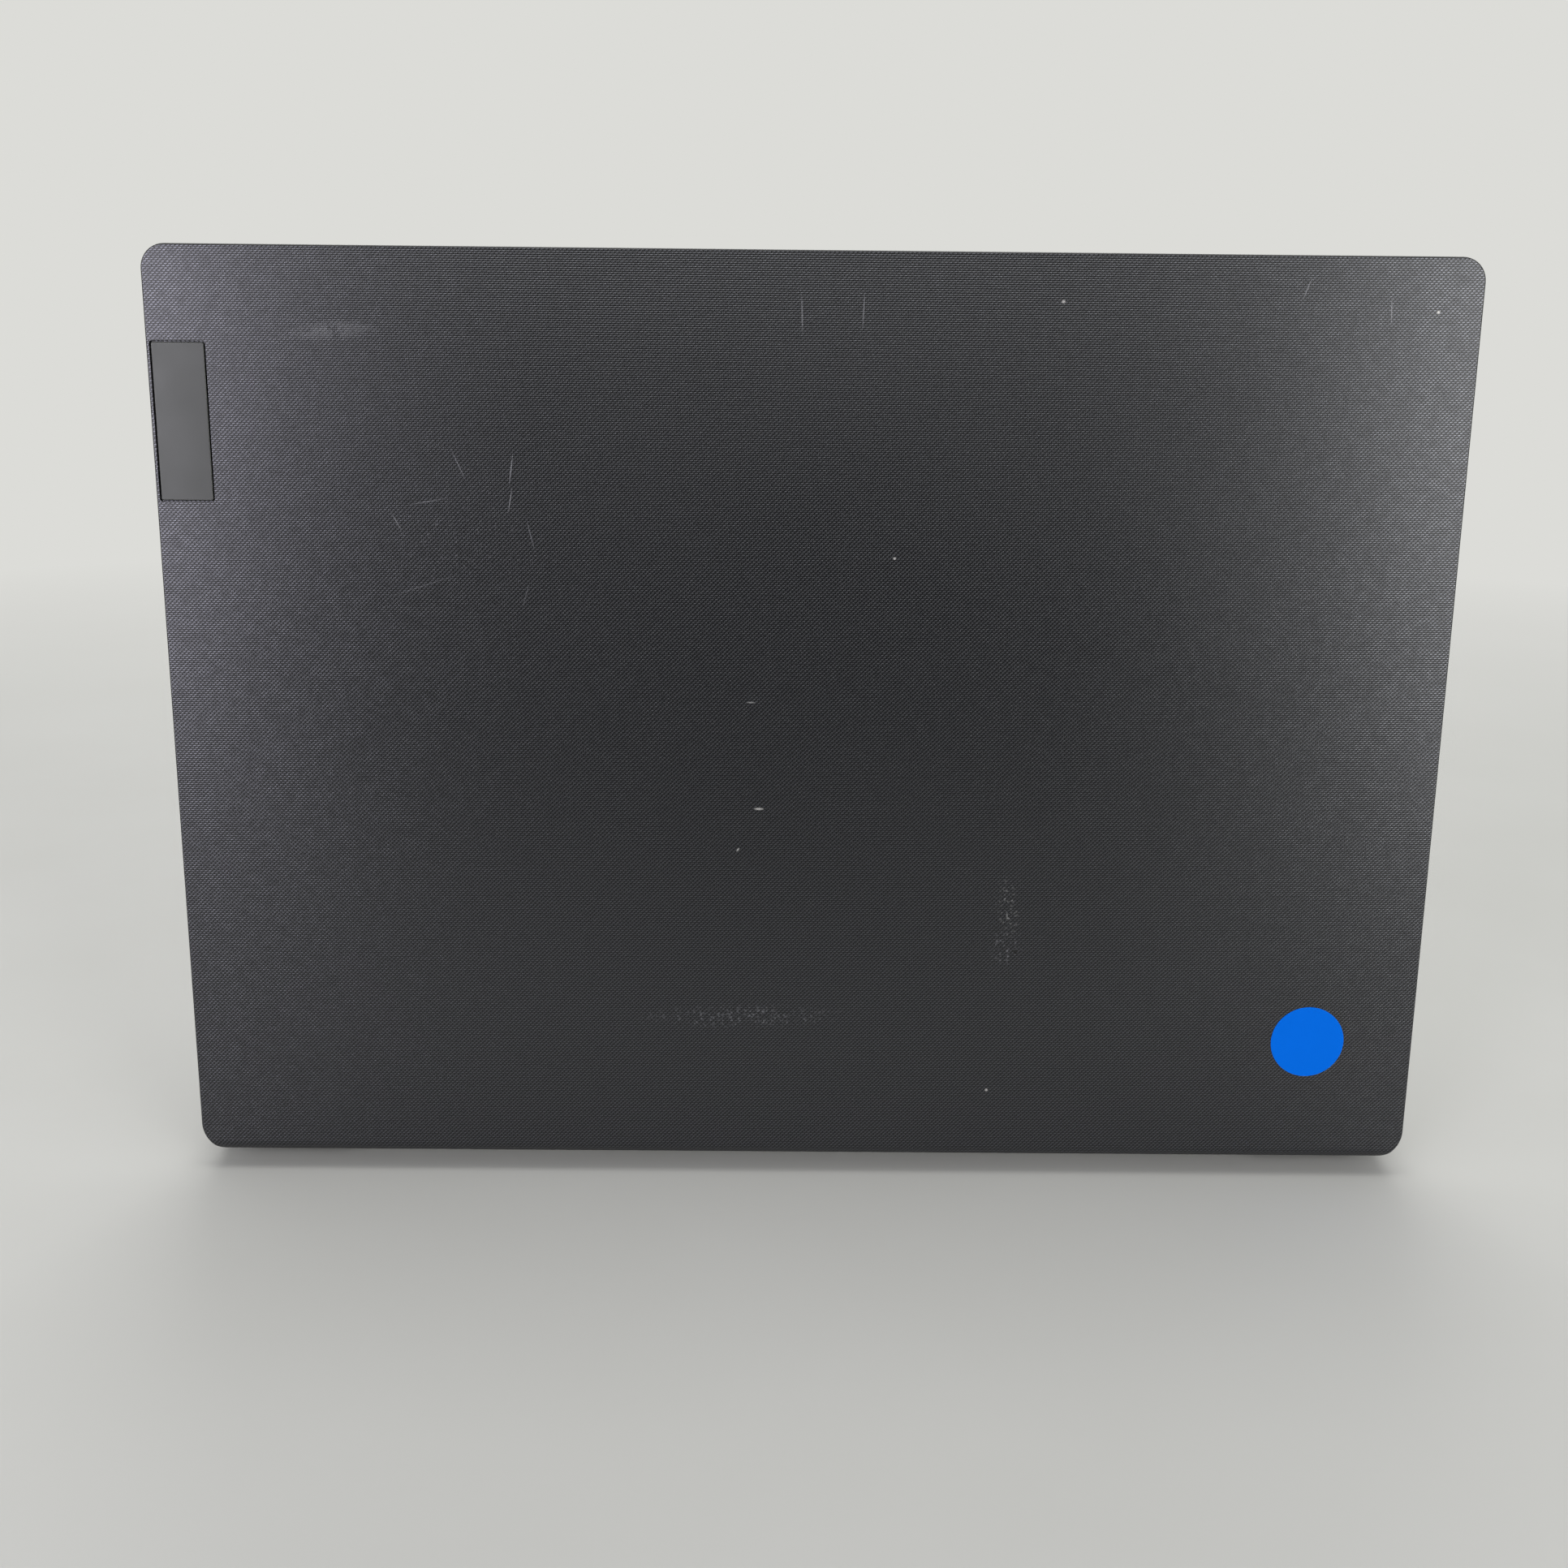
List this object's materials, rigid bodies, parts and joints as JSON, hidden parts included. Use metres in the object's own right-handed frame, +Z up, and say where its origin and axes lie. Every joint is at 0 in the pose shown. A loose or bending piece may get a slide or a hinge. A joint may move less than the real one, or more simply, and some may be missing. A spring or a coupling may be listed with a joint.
{
  "type": "laptop computer",
  "caption": "Clamshell laptop computer standing open: thin lid with screen on a drop hinge, base with keyboard, touchpad, side sockets, rubber feet and the parts inside.",
  "frame": {"origin": "on the table, at the middle of the open computer's footprint box", "axes": "+X towards the user's right, +Y from the user towards the back of the lid, +Z up"},
  "size_m": [0.3272, 0.2416, 0.2408],
  "materials": {
    "charcoal_plastic": "fine moulded twill texture, satin",
    "satin_badge": "satin, bare",
    "black_plastic": "fine grained, matt",
    "screen_face": "anti-glare, semi-matt",
    "dark_lens": "gloss",
    "key_plastic": "smooth, matt",
    "foot_rubber": "matt",
    "bright_steel": "plated, satin",
    "copper": "drawn, satin",
    "board_laminate": "solder resist",
    "moulded_socket": "moulded, matt",
    "plated_shell": "nickel plated"
  },
  "bodies": {
    "base": {"audio_jack": "moulded_socket", "battery": "moulded_socket", "bottom_cover": "charcoal_plastic", "card_reader": "plated_shell", "cooling_fins": "bright_steel", "dc_jack": "moulded_socket", "fan_housing": "moulded_socket", "foot_front_left": "foot_rubber", "foot_front_right": "foot_rubber", "foot_rear_left": "foot_rubber", "foot_rear_right": "foot_rubber", "hdmi_port": "plated_shell", "heat_pipe": "copper", "hinge_bracket_left": "bright_steel", "hinge_bracket_right": "bright_steel", "keyboard_plate": "bright_steel", "main_board": "board_laminate", "memory_module": "board_laminate", "processor_plate": "copper", "speaker_left": "moulded_socket", "speaker_right": "moulded_socket", "storage_drive": "board_laminate", "top_case": "charcoal_plastic", "usb_port_front": "plated_shell", "usb_port_middle": "plated_shell", "usb_port_rear": "plated_shell", "wireless_card": "plated_shell"},
    "lid": {"lid_cover": "charcoal_plastic", "badge_plate": "satin_badge", "screen_bezel": "black_plastic", "display_panel": "screen_face", "webcam": "dark_lens", "display_cable": "dark_lens", "hinge_cap": "black_plastic", "hinge_arm_left": "bright_steel", "hinge_arm_right": "bright_steel"},
    "key_arrow_down": {"key_arrow_down": "key_plastic"},
    "key_arrow_left": {"key_arrow_left": "key_plastic"},
    "key_arrow_right": {"key_arrow_right": "key_plastic"},
    "key_arrow_up": {"key_arrow_up": "key_plastic"},
    "key_backspace": {"key_backspace": "key_plastic"},
    "key_caps_lock": {"key_caps_lock": "key_plastic"},
    "key_delete": {"key_delete": "key_plastic"},
    "key_enter": {"key_enter": "key_plastic"},
    "key_esc": {"key_esc": "key_plastic"},
    "key_shift_left": {"key_shift_left": "key_plastic"},
    "key_shift_right": {"key_shift_right": "key_plastic"},
    "key_space": {"key_space": "key_plastic"},
    "key_tab": {"key_tab": "key_plastic"},
    "keys_bottom_left": {"keys_bottom_left": "key_plastic"},
    "keys_bottom_right": {"keys_bottom_right": "key_plastic"},
    "keys_function_row": {"keys_function_row": "key_plastic"},
    "keys_home_row": {"keys_home_row": "key_plastic"},
    "keys_lower_row": {"keys_lower_row": "key_plastic"},
    "keys_number_row": {"keys_number_row": "key_plastic"},
    "keys_upper_row": {"keys_upper_row": "key_plastic"},
    "touchpad": {"touchpad": "key_plastic"},
    "power_button": {"power_button": "key_plastic"},
    "fan_rotor": {"fan_rotor": "key_plastic"}
  },
  "joints": [
    {"name": "lid_hinge", "type": "hinge", "parent": "base", "child": "lid", "pos_m": [0, 0.11094, 0.0102], "axis": [-1, 0, 0], "range_deg": [-86.5, 93.5]},
    {"name": "arrow_down_press", "type": "slide", "parent": "base", "child": "key_arrow_down", "axis": [0, 0, -1], "range_m": [0, 0.0014], "stiffness_N_per_m": 300, "springref_m": -0.0009},
    {"name": "arrow_left_press", "type": "slide", "parent": "base", "child": "key_arrow_left", "axis": [0, 0, -1], "range_m": [0, 0.0014], "stiffness_N_per_m": 300, "springref_m": -0.0009},
    {"name": "arrow_right_press", "type": "slide", "parent": "base", "child": "key_arrow_right", "axis": [0, 0, -1], "range_m": [0, 0.0014], "stiffness_N_per_m": 300, "springref_m": -0.0009},
    {"name": "arrow_up_press", "type": "slide", "parent": "base", "child": "key_arrow_up", "axis": [0, 0, -1], "range_m": [0, 0.0014], "stiffness_N_per_m": 300, "springref_m": -0.0009},
    {"name": "backspace_press", "type": "slide", "parent": "base", "child": "key_backspace", "axis": [0, 0, -1], "range_m": [0, 0.0014], "stiffness_N_per_m": 300, "springref_m": -0.0009},
    {"name": "caps_lock_press", "type": "slide", "parent": "base", "child": "key_caps_lock", "axis": [0, 0, -1], "range_m": [0, 0.0014], "stiffness_N_per_m": 300, "springref_m": -0.0009},
    {"name": "delete_press", "type": "slide", "parent": "base", "child": "key_delete", "axis": [0, 0, -1], "range_m": [0, 0.0014], "stiffness_N_per_m": 300, "springref_m": -0.0009},
    {"name": "enter_press", "type": "slide", "parent": "base", "child": "key_enter", "axis": [0, 0, -1], "range_m": [0, 0.0014], "stiffness_N_per_m": 300, "springref_m": -0.0009},
    {"name": "esc_press", "type": "slide", "parent": "base", "child": "key_esc", "axis": [0, 0, -1], "range_m": [0, 0.0014], "stiffness_N_per_m": 300, "springref_m": -0.0009},
    {"name": "shift_left_press", "type": "slide", "parent": "base", "child": "key_shift_left", "axis": [0, 0, -1], "range_m": [0, 0.0014], "stiffness_N_per_m": 300, "springref_m": -0.0009},
    {"name": "shift_right_press", "type": "slide", "parent": "base", "child": "key_shift_right", "axis": [0, 0, -1], "range_m": [0, 0.0014], "stiffness_N_per_m": 300, "springref_m": -0.0009},
    {"name": "space_press", "type": "slide", "parent": "base", "child": "key_space", "axis": [0, 0, -1], "range_m": [0, 0.0014], "stiffness_N_per_m": 300, "springref_m": -0.0009},
    {"name": "tab_press", "type": "slide", "parent": "base", "child": "key_tab", "axis": [0, 0, -1], "range_m": [0, 0.0014], "stiffness_N_per_m": 300, "springref_m": -0.0009},
    {"name": "bottom_left_press", "type": "slide", "parent": "base", "child": "keys_bottom_left", "axis": [0, 0, -1], "range_m": [0, 0.0014], "stiffness_N_per_m": 900, "springref_m": -0.0009},
    {"name": "bottom_right_press", "type": "slide", "parent": "base", "child": "keys_bottom_right", "axis": [0, 0, -1], "range_m": [0, 0.0014], "stiffness_N_per_m": 900, "springref_m": -0.0009},
    {"name": "function_row_press", "type": "slide", "parent": "base", "child": "keys_function_row", "axis": [0, 0, -1], "range_m": [0, 0.0014], "stiffness_N_per_m": 900, "springref_m": -0.0009},
    {"name": "home_row_press", "type": "slide", "parent": "base", "child": "keys_home_row", "axis": [0, 0, -1], "range_m": [0, 0.0014], "stiffness_N_per_m": 900, "springref_m": -0.0009},
    {"name": "lower_row_press", "type": "slide", "parent": "base", "child": "keys_lower_row", "axis": [0, 0, -1], "range_m": [0, 0.0014], "stiffness_N_per_m": 900, "springref_m": -0.0009},
    {"name": "number_row_press", "type": "slide", "parent": "base", "child": "keys_number_row", "axis": [0, 0, -1], "range_m": [0, 0.0014], "stiffness_N_per_m": 900, "springref_m": -0.0009},
    {"name": "upper_row_press", "type": "slide", "parent": "base", "child": "keys_upper_row", "axis": [0, 0, -1], "range_m": [0, 0.0014], "stiffness_N_per_m": 900, "springref_m": -0.0009},
    {"name": "touchpad_click", "type": "hinge", "parent": "base", "child": "touchpad", "pos_m": [-0.01, -0.03006, 0.0111], "axis": [1, 0, 0], "range_deg": [0, 0.41], "stiffness_Nm_per_rad": 12, "springref_deg": -0.23},
    {"name": "power_press", "type": "slide", "parent": "base", "child": "power_button", "axis": [0, 0, -1], "range_m": [0, 0.0004], "stiffness_N_per_m": 1200, "springref_m": -0.0006},
    {"name": "fan_spin", "type": "hinge", "parent": "base", "child": "fan_rotor", "pos_m": [0.095, 0.06194, 0.0051], "axis": [0, 0, 1], "continuous": true}
  ]
}
